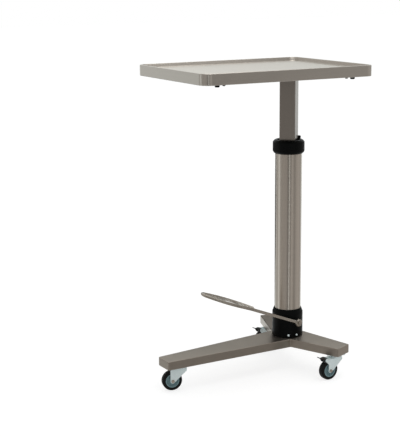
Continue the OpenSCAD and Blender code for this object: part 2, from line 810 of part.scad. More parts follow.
// Tray pressed from one sheet: a rim folded down with a hem, and a recessed floor
module tray_pan() {
    t = tray_sheet;
    color(tray_steel) at_tray(tray_top) difference() {
        translate([0, 0, -rim_height]) linear_extrude(rim_height)
            round_rect(tray_length, tray_width, tray_corner);
        translate([0, 0, -rim_height - 1]) linear_extrude(t + 2)
            round_rect(tray_length - 2*rim_hem, tray_width - 2*rim_hem, tray_corner - rim_hem);
        difference() {
            translate([0, 0, t - rim_height]) linear_extrude(rim_height - 2*t)
                round_rect(tray_length - 2*t, tray_width - 2*t, tray_corner - t);
            basin(tray_length - 2*rim_width + 2*t, tray_width - 2*rim_width + 2*t, tray_corner - rim_width + t,
                rim_slope, tray_depth + t);
        }
        basin(tray_length - 2*rim_width, tray_width - 2*rim_width, tray_corner - rim_width, rim_slope, tray_depth);
    }
}

// Casters

screw_pitch = 42;
screw_head_d = 9;
screw_head_h = 4;
crown_front = 18;
lobe_r = 8.5;
horn_r = 7;
crown_back = trail + lobe_r;
pivot_back = 17;
pivot_rise = 5;
brake_pivot = [-trail - pivot_back, wheel_d + pivot_rise];
fork_side = fork_gap/2 + fork_sheet;
king_d = 12;

// Puts a piece in the frame of a leg's end, square with the leg
module on_leg(spot) {
    translate(spot) rotate([0, 0, atan2(spot.y, spot.x)]) children();
}

// Puts a piece in the frame of a caster, which turns about its swivel axis
module at_caster(spot) {
    at_column() translate(spot) rotate([0, 0, spot == long_spot ? long_caster_turn : 0]) children();
}

module caster_plate(spot) {
    color(zinc) at_column() on_leg(spot) {
        translate([0, 0, leg_bottom - caster_plate_t]) linear_extrude(caster_plate_t)
            round_rect(caster_plate_side, caster_plate_side, 6);
        translate([0, 0, crown_z - seat]) cylinder(d = king_d, h = leg_bottom - crown_z - 1);
        translate([0, 0, crown_z - seat - 4]) cylinder(d = king_d + 8, h = 4);
    }
}

module caster_bearing(spot) {
    color(zinc) at_column() translate(spot) translate([0, 0, bearing_bottom])
        tube(44, king_d + 2*tight, bearing_h);
}

// One cheek of a fork, seen from the side; a braked fork has a horn for the lever's pin
module cheek(braked) {
    axle = [-trail, axle_z];
    back_top = [-crown_back, crown_z + crown_t];
    front = [crown_front, crown_z - 6];
    difference() {
        union() {
            translate(axle) circle(lobe_r);
            polygon([
                touch(axle, lobe_r, back_top, 1),
                touch(axle, lobe_r, front, -1),
                front,
                [crown_front, crown_z + crown_t],
                back_top
            ]);
            if (braked) {
                translate(brake_pivot) circle(horn_r);
                polygon([
                    brake_pivot + [0, horn_r], brake_pivot + [-2, 0.3 - horn_r],
                    [1 - crown_back, axle_z + 24], [-trail, crown_z], [4 - crown_back, crown_z + crown_t]
                ]);
            }
        }
        translate(axle) circle(d = axle_d + 2*tight);
        if (braked) translate(brake_pivot) circle(d = pin_d + 2*tight);
    }
}

module caster_fork(spot, braked) {
    color(zinc) at_caster(spot) difference() {
        union() {
            for (side = [-1, 1]) translate([0, side*(fork_side - fork_sheet/2) + fork_sheet/2, 0])
                rotate([90, 0, 0]) linear_extrude(fork_sheet) cheek(braked);
            translate([0, 0, crown_z]) linear_extrude(crown_t) intersection() {
                translate([-crown_back, -fork_side]) square([crown_back + crown_front, 2*fork_side]);
                union() {
                    circle(crown_front + 4);
                    translate([-crown_back, -fork_side]) square([crown_back, 2*fork_side]);
                }
            }
            translate([0, 0, crown_z]) cylinder(d = 40, h = crown_t + race_h);
        }
        translate([0, 0, crown_z - 1]) cylinder(d = king_d + 2*running, h = 20);
    }
}

module caster_axle(spot) {
    grip = fork_side + 0.05;
    color(zinc) at_caster(spot) translate([-trail, 0, axle_z]) rotate([90, 0, 0]) {
        translate([0, 0, -grip - 3]) cylinder(d = axle_d, h = 2*grip + 6);
        translate([0, 0, grip]) cylinder(d = axle_d + 5, h = 4, $fn = 6);
        translate([0, 0, -grip - 4]) cylinder(d = axle_d + 5, h = 4, $fn = 6);
    }
}

// Wheel hub: rim, thin web and a boss that runs on the axle
module caster_hub(spot) {
    rim_half = tyre_width/2 - 1;
    boss_half = fork_gap/2 - 0.4;
    bore = axle_d/2 + running;
    color(hub_grey) at_caster(spot) translate([-trail, 0, axle_z]) rotate([90, 0, 0])
        rotate_extrude() polygon([
            [bore, -boss_half], [11, -boss_half], [11, -6], [hub_d/2 - 5, -4], [hub_d/2 - 4, -rim_half],
            [hub_d/2, -rim_half], [hub_d/2, rim_half], [hub_d/2 - 4, rim_half], [hub_d/2 - 5, 4],
            [11, 6], [11, boss_half], [bore, boss_half]
        ]);
}

module caster_tyre(spot) {
    r = wheel_d/2;
    half = tyre_width/2;
    color(black) at_caster(spot) translate([-trail, 0, axle_z]) rotate([90, 0, 0]) rotate_extrude() {
        translate([hub_d/2, -half]) square([r - tyre_round - hub_d/2, tyre_width]);
        translate([hub_d/2, tyre_round - half]) square([r - hub_d/2, tyre_width - 2*tyre_round]);
        for (side = [-1, 1]) translate([r - tyre_round, side*(half - tyre_round)]) circle(tyre_round);
    }
}

// Brake lever: a bent plate on two ears, with a bar that is pressed on the tyre
pin_d = 6;
lever_t = 2.5;
shoe_r = 3.4;
shoe_at = brake_pivot + [-5, -6];
module brake_lever(spot) {
    p = brake_pivot;
    tread_z = p.y + 4;
    start_x = -crown_back - 3;
    color(black) at_caster(spot) {
        rotate([90, 0, 0]) linear_extrude(brake_width, center = true) polygon([
            [start_x, tread_z], [start_x, tread_z + lever_t], [-brake_reach + 14, tread_z + lever_t],
            [-brake_reach + 1, tread_z + lever_t + 6], [-brake_reach, tread_z + 6], [-brake_reach + 13, tread_z]
        ]);
        for (side = [-1, 1]) translate([0, side*(brake_width/2 - lever_t/2) + lever_t/2, 0])
            rotate([90, 0, 0]) linear_extrude(lever_t) difference() {
                union() {
                    translate(p) circle(5.5);
                    translate(shoe_at) circle(shoe_r);
                    polygon([
                        p + [5.5, 0], [start_x, tread_z + 1], [p.x - 16, tread_z + 1],
                        shoe_at + [-shoe_r, 0], shoe_at + [0, -shoe_r]
                    ]);
                }
                translate(p) circle(d = pin_d + 2*running);
            }
        translate([shoe_at.x, brake_width/2, shoe_at.y]) rotate([90, 0, 0]) cylinder(r = shoe_r, h = brake_width);
    }
}

module brake_pin(spot) {
    h = 2*fork_side + 3;
    color(zinc) at_caster(spot) translate([brake_pivot.x, h/2, brake_pivot.y])
        rotate([90, 0, 0]) cylinder(d = pin_d, h = h);
}

module long_caster_plate() { caster_plate(long_spot); }
module near_caster_plate() { caster_plate(near_spot); }
module far_caster_plate() { caster_plate(far_spot); }
module long_caster_bearing() { caster_bearing(long_spot); }
module near_caster_bearing() { caster_bearing(near_spot); }
module far_caster_bearing() { caster_bearing(far_spot); }
module long_caster_fork() { caster_fork(long_spot, false); }
module near_caster_fork() { caster_fork(near_spot, true); }
module far_caster_fork() { caster_fork(far_spot, true); }
module long_caster_axle() { caster_axle(long_spot); }
module near_caster_axle() { caster_axle(near_spot); }
module far_caster_axle() { caster_axle(far_spot); }
module long_caster_hub() { caster_hub(long_spot); }
module near_caster_hub() { caster_hub(near_spot); }
module far_caster_hub() { caster_hub(far_spot); }
module long_caster_tyre() { caster_tyre(long_spot); }
module near_caster_tyre() { caster_tyre(near_spot); }
module far_caster_tyre() { caster_tyre(far_spot); }
module near_brake_lever() { brake_lever(near_spot); }
module far_brake_lever() { brake_lever(far_spot); }
module near_brake_pin() { brake_pin(near_spot); }
module far_brake_pin() { brake_pin(far_spot); }

base_shell();
base_centre_plate();
leg_end_plates();
socket_ring();
column_tube();
pump_housing();
housing_screws();
pump_body();
pump_plunger();
lift_cylinder();
cylinder_gland();
pedal_bush();
pedal_shaft();
pedal_crank();
pedal_boss();
pedal_bolt();
pedal_lever();
pedal_tread();
collar();
guide_bush();
collar_knob();
lift_ram();
ram_seat();
mast_foot();
mast_tube();
mast_head();
swivel_washer();
swivel_nut();
tray_carrier();
carrier_screws();
tray_buffers();
tray_pan();
long_caster_plate();
long_caster_bearing();
long_caster_fork();
long_caster_axle();
long_caster_hub();
long_caster_tyre();
near_caster_plate();
near_caster_bearing();
near_caster_fork();
near_caster_axle();
near_caster_hub();
near_caster_tyre();
near_brake_lever();
near_brake_pin();
far_caster_plate();
far_caster_bearing();
far_caster_fork();
far_caster_axle();
far_caster_hub();
far_caster_tyre();
far_brake_lever();
far_brake_pin();
caster_screws();
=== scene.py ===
import json
import math

import bmesh
import bpy
import numpy as np
from mathutils import Matrix, Vector


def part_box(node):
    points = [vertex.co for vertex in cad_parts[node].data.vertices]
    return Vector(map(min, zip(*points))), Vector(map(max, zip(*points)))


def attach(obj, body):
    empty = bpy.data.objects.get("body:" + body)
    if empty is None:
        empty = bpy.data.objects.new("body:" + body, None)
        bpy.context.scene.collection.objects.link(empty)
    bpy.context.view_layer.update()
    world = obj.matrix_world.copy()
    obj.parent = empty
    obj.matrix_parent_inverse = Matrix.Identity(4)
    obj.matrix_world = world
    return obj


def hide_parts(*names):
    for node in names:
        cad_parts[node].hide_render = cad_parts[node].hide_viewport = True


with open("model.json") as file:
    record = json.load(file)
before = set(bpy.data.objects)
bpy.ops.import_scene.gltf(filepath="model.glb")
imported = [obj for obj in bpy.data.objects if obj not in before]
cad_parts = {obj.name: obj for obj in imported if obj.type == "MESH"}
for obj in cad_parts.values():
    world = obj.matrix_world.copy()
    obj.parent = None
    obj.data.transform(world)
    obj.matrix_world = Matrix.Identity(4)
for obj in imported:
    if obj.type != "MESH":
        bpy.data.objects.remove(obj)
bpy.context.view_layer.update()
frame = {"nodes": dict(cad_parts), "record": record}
nodes = frame["nodes"]
mm = 0.001

# the column's axis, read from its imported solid
columnLow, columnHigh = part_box("column_tube")
axisX = (columnLow[0] + columnHigh[0])/2
axisY = (columnLow[1] + columnHigh[1])/2
print("frame loaded, column at", round(axisX, 4), round(axisY, 4))


# a corner between two straight runs becomes an arc: it starts r/tan(half) before the corner and
# turns about a centre that lies r/sin(half) along the bisector
def roundedPath(points, radii, steps=5, closed=True):
    points = np.asarray(points, float)
    count = len(points)
    rows = []
    for i in range(count):
        r = radii[i] if np.ndim(radii) else radii
        if r <= 0 or (not closed and i in (0, count - 1)):
            rows.append(points[i:i + 1])
            continue
        toA = points[i - 1] - points[i]
        toB = points[(i + 1) % count] - points[i]
        toA /= np.linalg.norm(toA)
        toB /= np.linalg.norm(toB)
        half = math.acos(np.clip(toA @ toB, -1, 1))/2
        centre = points[i] + (toA + toB)/np.linalg.norm(toA + toB)*r/math.sin(half)
        p = points[i] + toA*r/math.tan(half) - centre
        q = points[i] + toB*r/math.tan(half) - centre
        start = math.atan2(p[1], p[0])
        turn = math.atan2(p[0]*q[1] - p[1]*q[0], p @ q)
        a = start + turn*np.linspace(0, 1, steps + 1)
        rows.append(centre + r*np.stack([np.cos(a), np.sin(a)], 1))
    return np.concatenate(rows)


# outward normals of a closed outline that runs counterclockwise: the mean of the normals of the two edges
# at each point, made longer so that an inset moves both edges by the same amount
def outlineNormals(outline):
    edge = np.roll(outline, -1, 0) - outline
    edge /= np.linalg.norm(edge, axis=1, keepdims=True)
    out = np.stack([edge[:, 1], -edge[:, 0]], 1)
    both = out + np.roll(out, 1, 0)
    both /= np.linalg.norm(both, axis=1, keepdims=True)
    return both/np.maximum((both*out).sum(1, keepdims=True), 0.5)


# grid P[i, j] joined by quads: j always wraps round and i where it is closed, and an open end of i takes a
# flat cap if asked. The map that the brushed lines follow is the length along j and along i, or x and y on a
# cap, all in metres
def gridFaces(grid, closeU=False, caps=(False, False), upright=False):
    nu, nv = grid.shape[:2]
    i, j = np.meshgrid(np.arange(nu if closeU else nu - 1), np.arange(nv), indexing="ij")
    i2, j2 = (i + 1) % nu, (j + 1) % nv
    faces = np.stack([i*nv + j, i*nv + j2, i2*nv + j2, i2*nv + j], -1).reshape(-1, 4).tolist()
    widest = grid[np.argmax(np.linalg.norm(np.roll(grid, -1, 1) - grid, axis=2).sum(1))]
    along = np.concatenate([[0], np.cumsum(np.linalg.norm(np.roll(widest, -1, 0) - widest, axis=1))])
    across = np.concatenate([[0], np.cumsum(np.linalg.norm(np.roll(grid[:, 0], -1, 0) - grid[:, 0], axis=1))])
    lines = np.stack([along[[j, j + 1, j + 1, j]], across[[i, i, i + 1, i + 1]]], -1)
    lines = np.moveaxis(lines, 0, 2).reshape(-1, 2)
    if upright:
        lines = lines[:, ::-1]
    for wanted, ring, order in zip(caps, (0, nu - 1), (-1, 1)):
        if wanted:
            faces.append(list(range(ring*nv, (ring + 1)*nv))[::order])
            lines = np.concatenate([lines, grid[ring, ::order, :2]])
    return grid.reshape(-1, 3), faces, lines


# several grids with their faces become one mesh
def joinGrids(name, parts, sharp=32):
    points, faces, start = [], [], 0
    for rows, quads, _ in parts:
        points.append(rows)
        faces += [[k + start for k in face] for face in quads]
        start += len(rows)
    mesh = bpy.data.meshes.new(name)
    mesh.from_pydata(np.concatenate(points).tolist(), [], faces)
    lines = mesh.uv_layers.new(name="brushLines")
    lines.data.foreach_set("uv", np.concatenate([part[2] for part in parts]).ravel())
    return finishMesh(name, mesh, sharp)


# one grid as a mesh of its own
def gridMesh(name, grid, closeU=False, caps=(False, False), sharp=32, upright=False):
    return joinGrids(name, [gridFaces(grid, closeU, caps, upright)], sharp)


# merges doubles, turns all faces outwards, cuts wide caps into triangles, shades smooth and keeps the edges
# sharper than the angle
def finishMesh(name, mesh, sharp):
    work = bmesh.new()
    work.from_mesh(mesh)
    bmesh.ops.remove_doubles(work, verts=work.verts, dist=1e-6)
    bmesh.ops.dissolve_degenerate(work, edges=work.edges, dist=1e-7)
    bmesh.ops.recalc_face_normals(work, faces=work.faces)
    wide = [face for face in work.faces if len(face.verts) > 4]
    bmesh.ops.triangulate(work, faces=wide, quad_method="BEAUTY", ngon_method="EAR_CLIP")
    work.to_mesh(mesh)
    work.free()
    mesh.polygons.foreach_set("use_smooth", np.ones(len(mesh.polygons), bool))
    mesh.set_sharp_from_angle(angle=math.radians(sharp))
    piece = bpy.data.objects.new(name, mesh)
    bpy.context.scene.collection.objects.link(piece)
    even = piece.modifiers.new("flatFacesStayFlat", "WEIGHTED_NORMAL")
    even.weight = 80
    even.keep_sharp = True
    return piece


# outline in plan, moved in by rows[i][0], raised to rows[i][1] and put in its place:
# P = place(outline - inset*normal, z)
def stackedOutline(name, outline, rows, place, closeU=False, caps=(True, True), sharp=32, upright=False):
    normals = outlineNormals(outline)
    rows = np.asarray(rows, float)
    flat = outline[None, :, :] - rows[:, None, 0:1]*normals[None, :, :]
    grid = np.concatenate([flat, np.broadcast_to(rows[:, None, 1:2], flat.shape[:2] + (1,))], 2)*mm
    return gridMesh(name, place(grid), closeU, caps, sharp, upright)


# profile of (radius, height) turned about the line through centre along axis:
# P = centre + h*axis + r*(cos a*sideA + sin a*sideB)
def revolved(name, profile, centre, around, axis=(0, 0, 1)):
    profile = np.asarray(profile, float)*mm
    axis = np.asarray(axis, float)
    sideA = np.cross(axis, (1, 0, 0) if abs(axis[0]) < 0.9 else (0, 1, 0))
    sideA /= np.linalg.norm(sideA)
    sideB = np.cross(axis, sideA)
    a = np.linspace(0, 2*np.pi, around, endpoint=False)
    ring = np.cos(a)[:, None]*sideA + np.sin(a)[:, None]*sideB
    grid = np.asarray(centre, float) + profile[:, None, 1:2]*axis + profile[:, None, 0:1]*ring[None]
    return gridMesh(name, grid, closeU=True)


# round rod along a path that lies in one plane: P = path + r*(cos a*side + sin a*normal),
# where side is the normal crossed with the path's direction
def rodAlong(name, path, normal, radius, around=24):
    tangent = np.gradient(path, axis=0)
    tangent /= np.linalg.norm(tangent, axis=1, keepdims=True)
    side = np.cross(normal, tangent)
    a = np.linspace(0, 2*np.pi, around, endpoint=False)
    ring = np.cos(a)[None, :, None]*side[:, None, :] + np.sin(a)[None, :, None]*normal
    return gridMesh(name, path[:, None, :] + radius*ring, caps=(True, True))


# P = point + the column's axis in plan
def onColumn(grid):
    return grid + np.array([axisX, axisY, 0])


# a node group with its sockets, and the nodes at its two ends
def newGroup(name, inputs, outputs):
    group = bpy.data.node_groups.new(name, "ShaderNodeTree")
    for label, kind, value in inputs:
        socket = group.interface.new_socket(name=label, in_out="INPUT", socket_type=kind)
        if value is not None:
            socket.default_value = value
    for label, kind in outputs:
        group.interface.new_socket(name=label, in_out="OUTPUT", socket_type=kind)
    return group, group.nodes.new("NodeGroupInput"), group.nodes.new("NodeGroupOutput")


# a shader node with its own settings, apart from its sockets
def addNode(tree, kind, **settings):
    node = tree.nodes.new(kind)
    for key, value in settings.items():
        setattr(node, key, value)
    return node


# fine lines of a brushed surface. The vector comes in stretched, long along the lines and short across them
def buildGrain():
    group, start, end = newGroup("brushedGrain", [
        ("Vector", "NodeSocketVector", None),
        ("Base", "NodeSocketColor", (0.5, 0.5, 0.5, 1)),
        ("Shade", "NodeSocketFloat", 0.08),
        ("Roughness", "NodeSocketFloat", 0.35),
        ("Spread", "NodeSocketFloat", 0.08),
    ], [("Color", "NodeSocketColor"), ("Roughness", "NodeSocketFloat"), ("Height", "NodeSocketFloat")])
    link = group.links.new
    fine = addNode(group, "ShaderNodeTexNoise")
    fine.inputs["Scale"].default_value = 1
    fine.inputs["Detail"].default_value = 3
    fine.inputs["Roughness"].default_value = 0.7
    link(start.outputs["Vector"], fine.inputs["Vector"])
    slow = addNode(group, "ShaderNodeTexNoise")
    slow.inputs["Scale"].default_value = 0.11
    slow.inputs["Detail"].default_value = 2
    link(start.outputs["Vector"], slow.inputs["Vector"])
    both = addNode(group, "ShaderNodeMath", operation="ADD")
    link(fine.outputs["Fac"], both.inputs[0])
    link(slow.outputs["Fac"], both.inputs[1])
    middle = addNode(group, "ShaderNodeMath", operation="SUBTRACT")
    link(both.outputs[0], middle.inputs[0])
    middle.inputs[1].default_value = 1
    shade = addNode(group, "ShaderNodeMath", operation="MULTIPLY_ADD")
    link(middle.outputs[0], shade.inputs[0])
    link(start.outputs["Shade"], shade.inputs[1])
    shade.inputs[2].default_value = 1
    tint = addNode(group, "ShaderNodeVectorMath", operation="SCALE")
    link(start.outputs["Base"], tint.inputs[0])
    link(shade.outputs[0], tint.inputs["Scale"])
    link(tint.outputs[0], end.inputs["Color"])
    rough = addNode(group, "ShaderNodeMath", operation="MULTIPLY_ADD")
    link(middle.outputs[0], rough.inputs[0])
    link(start.outputs["Spread"], rough.inputs[1])
    link(start.outputs["Roughness"], rough.inputs[2])
    link(rough.outputs[0], end.inputs["Roughness"])
    link(fine.outputs["Fac"], end.inputs["Height"])
    return group


# cloudy marks, as of handling and wiping, and on the base also painted shade that makes its steel darker and
# lighter in patches: a factor round 1 for the colour, and what to add to the roughness
def buildSmudgeAndShade():
    group, start, end = newGroup("handlingMarks", [
        ("Vector", "NodeSocketVector", None),
        ("Scale", "NodeSocketFloat", 9),
        ("Amount", "NodeSocketFloat", 0.05),
    ], [("Factor", "NodeSocketFloat"), ("Add", "NodeSocketFloat")])
    link = group.links.new
    cloud = addNode(group, "ShaderNodeTexNoise")
    cloud.inputs["Detail"].default_value = 4
    cloud.inputs["Roughness"].default_value = 0.6
    link(start.outputs["Vector"], cloud.inputs["Vector"])
    link(start.outputs["Scale"], cloud.inputs["Scale"])
    centre = addNode(group, "ShaderNodeMath", operation="SUBTRACT")
    link(cloud.outputs["Fac"], centre.inputs[0])
    centre.inputs[1].default_value = 0.5
    add = addNode(group, "ShaderNodeMath", operation="MULTIPLY")
    link(centre.outputs[0], add.inputs[0])
    link(start.outputs["Amount"], add.inputs[1])
    factor = addNode(group, "ShaderNodeMath", operation="ADD")
    link(add.outputs[0], factor.inputs[0])
    factor.inputs[1].default_value = 1
    link(factor.outputs[0], end.inputs["Factor"])
    link(add.outputs[0], end.inputs["Add"])
    return group


# small dimples or spangle cells for moulded and plated surfaces: a colour factor and a height
def buildPebble():
    group, start, end = newGroup("pebbledSkin", [
        ("Vector", "NodeSocketVector", None),
        ("Scale", "NodeSocketFloat", 900),
        ("Base", "NodeSocketColor", (0.05, 0.05, 0.05, 1)),
        ("Shade", "NodeSocketFloat", 0.3),
    ], [("Color", "NodeSocketColor"), ("Height", "NodeSocketFloat")])
    link = group.links.new
    cells = addNode(group, "ShaderNodeTexVoronoi", feature="SMOOTH_F1")
    link(start.outputs["Vector"], cells.inputs["Vector"])
    link(start.outputs["Scale"], cells.inputs["Scale"])
    shade = addNode(group, "ShaderNodeMath", operation="MULTIPLY_ADD")
    link(cells.outputs["Distance"], shade.inputs[0])
    link(start.outputs["Shade"], shade.inputs[1])
    shade.inputs[2].default_value = 0.85
    tint = addNode(group, "ShaderNodeVectorMath", operation="SCALE")
    link(start.outputs["Base"], tint.inputs[0])
    link(shade.outputs[0], tint.inputs["Scale"])
    link(tint.outputs[0], end.inputs["Color"])
    link(cells.outputs["Distance"], end.inputs["Height"])
    return group


grainGroup = buildGrain()
smudgeAndShadeGroup = buildSmudgeAndShade()
pebbleGroup = buildPebble()


# a new material with its tree, its shader and its coordinates
def startMaterial(name):
    material = bpy.data.materials.new(name)
    material.use_nodes = True
    tree = material.node_tree
    shader = tree.nodes["Principled BSDF"]
    place = addNode(tree, "ShaderNodeTexCoord")
    return material, tree, shader, place


# a node group set down in a material, with the values of its sockets
def placeGroup(tree, group, **values):
    node = addNode(tree, "ShaderNodeGroup")
    node.node_tree = group
    for label, value in values.items():
        node.inputs[label].default_value = value
    return node


# stainless sheet or tube: the lines run along the first direction of the piece's own map, or stay on Object
# coordinates where a node of the frame has no map, and the shine is stretched across them
def brushedMaterial(name, color, lines, roughness, shade=0.1, bump=0.08, marks=0.06, stretched=0.0):
    material, tree, shader, place = startMaterial(name)
    link = tree.links.new
    stretch = addNode(tree, "ShaderNodeMapping")
    stretch.inputs["Scale"].default_value = lines
    link(place.outputs["UV" if stretched else "Object"], stretch.inputs["Vector"])
    grain = placeGroup(tree, grainGroup, Base=(*color, 1), Shade=shade, Roughness=roughness, Spread=0.1)
    link(stretch.outputs["Vector"], grain.inputs["Vector"])
    # handling marks in cloudy patches, which on the base are partly painted shade
    smudgeAndShade = placeGroup(tree, smudgeAndShadeGroup, Scale=7, Amount=marks)
    link(place.outputs["Object"], smudgeAndShade.inputs["Vector"])
    tint = addNode(tree, "ShaderNodeVectorMath", operation="SCALE")
    link(grain.outputs["Color"], tint.inputs[0])
    link(smudgeAndShade.outputs["Factor"], tint.inputs["Scale"])
    link(tint.outputs[0], shader.inputs["Base Color"])
    rough = addNode(tree, "ShaderNodeMath", operation="ADD")
    link(grain.outputs["Roughness"], rough.inputs[0])
    link(smudgeAndShade.outputs["Add"], rough.inputs[1])
    link(rough.outputs[0], shader.inputs["Roughness"])
    relief = addNode(tree, "ShaderNodeBump")
    relief.inputs["Strength"].default_value = bump
    relief.inputs["Distance"].default_value = 0.0004
    link(grain.outputs["Height"], relief.inputs["Height"])
    link(relief.outputs["Normal"], shader.inputs["Normal"])
    shader.inputs["Metallic"].default_value = 1.0
    if stretched:
        shader.inputs["Anisotropic"].default_value = stretched
        shader.inputs["Anisotropic Rotation"].default_value = 0.25
        around = addNode(tree, "ShaderNodeTangent", direction_type="UV_MAP", uv_map="brushLines")
        link(around.outputs["Tangent"], shader.inputs["Tangent"])
    return material


# moulded, cast or plated skin
def pebbledMaterial(name, color, scale, roughness, metallic=0.0, shade=0.3, bump=0.15, marks=0.08, gloss=0.5):
    material, tree, shader, place = startMaterial(name)
    link = tree.links.new
    skin = placeGroup(tree, pebbleGroup, Base=(*color, 1), Scale=scale, Shade=shade)
    link(place.outputs["Object"], skin.inputs["Vector"])
    link(skin.outputs["Color"], shader.inputs["Base Color"])
    smudgeAndShade = placeGroup(tree, smudgeAndShadeGroup, Scale=12, Amount=marks)
    link(place.outputs["Object"], smudgeAndShade.inputs["Vector"])
    rough = addNode(tree, "ShaderNodeMath", operation="ADD")
    link(smudgeAndShade.outputs["Add"], rough.inputs[0])
    rough.inputs[1].default_value = roughness
    link(rough.outputs[0], shader.inputs["Roughness"])
    relief = addNode(tree, "ShaderNodeBump")
    relief.inputs["Strength"].default_value = bump
    relief.inputs["Distance"].default_value = 0.0003
    link(skin.outputs["Height"], relief.inputs["Height"])
    link(relief.outputs["Normal"], shader.inputs["Normal"])
    shader.inputs["Metallic"].default_value = metallic
    shader.inputs["Specular IOR Level"].default_value = gloss
    return material


brushedLooks = {
    "traySheet": {"color": (0.6, 0.56, 0.505), "lines": (14, 900, 1), "roughness": 0.32, "marks": 0.1,
                  "stretched": 0.9},
    # the base's strong cloudy marks are partly painted shade: its steel darker and lighter in patches
    "baseSheet": {"color": (0.42, 0.372, 0.32), "lines": (14, 800, 1), "roughness": 0.36, "marks": 0.22,
                  "stretched": 0.6},
    "columnSteel": {"color": (0.66, 0.6, 0.53), "lines": (12, 900, 1), "roughness": 0.32, "marks": 0.08,
                    "stretched": 1.0},
    "mastSteel": {"color": (0.32, 0.29, 0.26), "lines": (12, 900, 1), "roughness": 0.3, "stretched": 0.2},
    "plainSteel": {"color": (0.5, 0.455, 0.4), "lines": (160, 160, 160), "roughness": 0.27},
    "treadSteel": {"color": (0.66, 0.62, 0.56), "lines": (60, 60, 60), "roughness": 0.3, "shade": 0.05,
                   "bump": 0.02},
    "ramChrome": {"color": (0.62, 0.62, 0.63), "lines": (900, 900, 900), "roughness": 0.12, "shade": 0.03,
                  "bump": 0.0},
}
pebbledLooks = {
    "zincPlate": {"color": (0.88, 0.99, 0.99), "scale": 420, "roughness": 0.4, "metallic": 0.12,
                  "shade": 0.12, "bump": 0.05},
    "blackMoulding": {"color": (0.0025, 0.003, 0.003), "scale": 1500, "roughness": 0.42, "gloss": 0.09},
    "blackPaint": {"color": (0.006, 0.0065, 0.007), "scale": 1100, "roughness": 0.28},
    "tyreRubber": {"color": (0.006, 0.0065, 0.0065), "scale": 1300, "roughness": 0.55, "gloss": 0.2},
    "hubMoulding": {"color": (0.2, 0.31, 0.33), "scale": 1500, "roughness": 0.4, "gloss": 0.4},
    "nylon": {"color": (0.7, 0.69, 0.64), "scale": 900, "roughness": 0.5},
}
looks = {name: brushedMaterial(name, **values) for name, values in brushedLooks.items()}
looks.update({name: pebbledMaterial(name, **values) for name, values in pebbledLooks.items()})
print("materials built:", len(looks))


# gives a new piece its look, the body that it moves with and the solid that it takes the place of
def finishPiece(piece, look, body, node):
    piece.data.materials.append(looks[look])
    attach(piece, body)
    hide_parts(node)


tray = {
    "length": 700, "width": 530, "corner": 35, "rimHeight": 40, "rimWidth": 9, "slope": 5, "depth": 14,
    "sheet": 1.5, "hem": 12, "offset": 152, "turn": -3.5, "floorBand": 6, "thinner": 0.6,
    "outerBends": (0, 2.5, 2.2, 2.6, 2.0, 0), "innerBends": (0, 0.6, 1.1, 0.8, 1.2, 0),
}


# the tray hangs over by its offset and is turned about the column: P = axis + turn*(x - offset, y), z
def onTray(grid):
    a = math.radians(tray["turn"])
    x, y, z = grid[..., 0] - tray["offset"]*mm, grid[..., 1], grid[..., 2]
    return np.stack([axisX + x*math.cos(a) - y*math.sin(a), axisY + x*math.sin(a) + y*math.cos(a), z], -1)


# corners at half the length and half the width, each an arc of radius r
def rectangle(length, width, r, steps=10):
    x, y = length/2, width/2
    return roundedPath([(-x, -y), (x, -y), (x, y), (-x, y)], r, steps)


# the rounded rectangle in plan, swept through the section of one folded sheet as (inset, height)
def buildTray():
    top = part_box("tray_pan")[1][2]/mm
    t, rim, run, deep = tray["sheet"], tray["rimWidth"], tray["slope"], tray["depth"]
    low = top - tray["rimHeight"]
    band, thinner = tray["floorBand"], tray["thinner"]
    # the sheet's outer face from the floor over the rim to the hem, then back along its inner face
    outer = roundedPath([
        (rim + run + band, top - deep), (rim + run, top - deep), (rim, top), (0, top), (0, low),
        (tray["hem"], low),
    ], tray["outerBends"], steps=5, closed=False)
    inner = roundedPath([
        (tray["hem"], low + t), (t, low + t), (t, top - t), (rim - thinner, top - t),
        (rim + run - thinner, top - deep - t), (rim + run + band, top - deep - t),
    ], tray["innerBends"], steps=3, closed=False)
    rows = np.concatenate([outer, inner])
    outline = rectangle(tray["length"], tray["width"], tray["corner"])
    piece = stackedOutline("traySheetMetal", outline, rows, onTray, sharp=40)
    finishPiece(piece, "traySheet", "tray", "tray_pan")


buildTray()
print("tray built")


mast = {"side": 60, "wall": 3, "corner": 4, "turn": 41.5, "chamfer": 0.3}


# a rounded square turned by the mast's angle, swept through the section of its wall as (inset, height)
def buildMast():
    low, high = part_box("mast_tube")
    a = math.radians(mast["turn"])
    outline = rectangle(mast["side"], mast["side"], mast["corner"], 6)
    outline = outline @ np.array([[math.cos(a), math.sin(a)], [-math.sin(a), math.cos(a)]])
    w, c = mast["wall"], mast["chamfer"]
    bottom, top = low[2]/mm, high[2]/mm
    rows = [(c, bottom), (0, bottom + c), (0, top), (w, top), (w, bottom)]
    piece = stackedOutline("mastSquareTube", outline, rows, onColumn, closeU=True, caps=(False, False),
                           upright=True)
    finishPiece(piece, "mastSteel", "mast", "mast_tube")


buildMast()
print("mast built")


# a profile of (radius, height) with rounded corners, turned about the column's axis
def turnedPiece(name, profile, radii, look, node, steps):
    piece = revolved(name, roundedPath(profile, radii, steps), (axisX, axisY, 0), around=128)
    finishPiece(piece, look, "stand", node)


column = {"radius": 50.8, "wall": 3, "gap": 0.3, "bends": (0.4, 0.4, 0.6, 0.6)}
collar = {
    "radius": 60, "chamfer": 8, "foot": 7, "footRise": 8, "hole": 43.5, "roof": 12, "ledge": 1,
    "boreDepth": 33, "bends": (0.5, 5, 9, 9, 8, 1, 1, 1, 0.5),
}
housing = {
    "radius": 59, "wall": 3, "straight": 94, "cone": 17, "lipWidth": 1.5, "lipDepth": 3, "shoulder": 1,
    "bends": (0.4, 1.2, 5, 0.6, 0.4, 0.4, 3),
}


# the section of the tube's wall, with its edges broken
def buildColumn():
    low, high = columnLow[2]/mm, columnHigh[2]/mm
    r, w = column["radius"], column["wall"]
    turnedPiece("columnRoundTube", [(r - w, low), (r, low), (r, high), (r - w, high)], column["bends"],
                "columnSteel", "column_tube", steps=2)


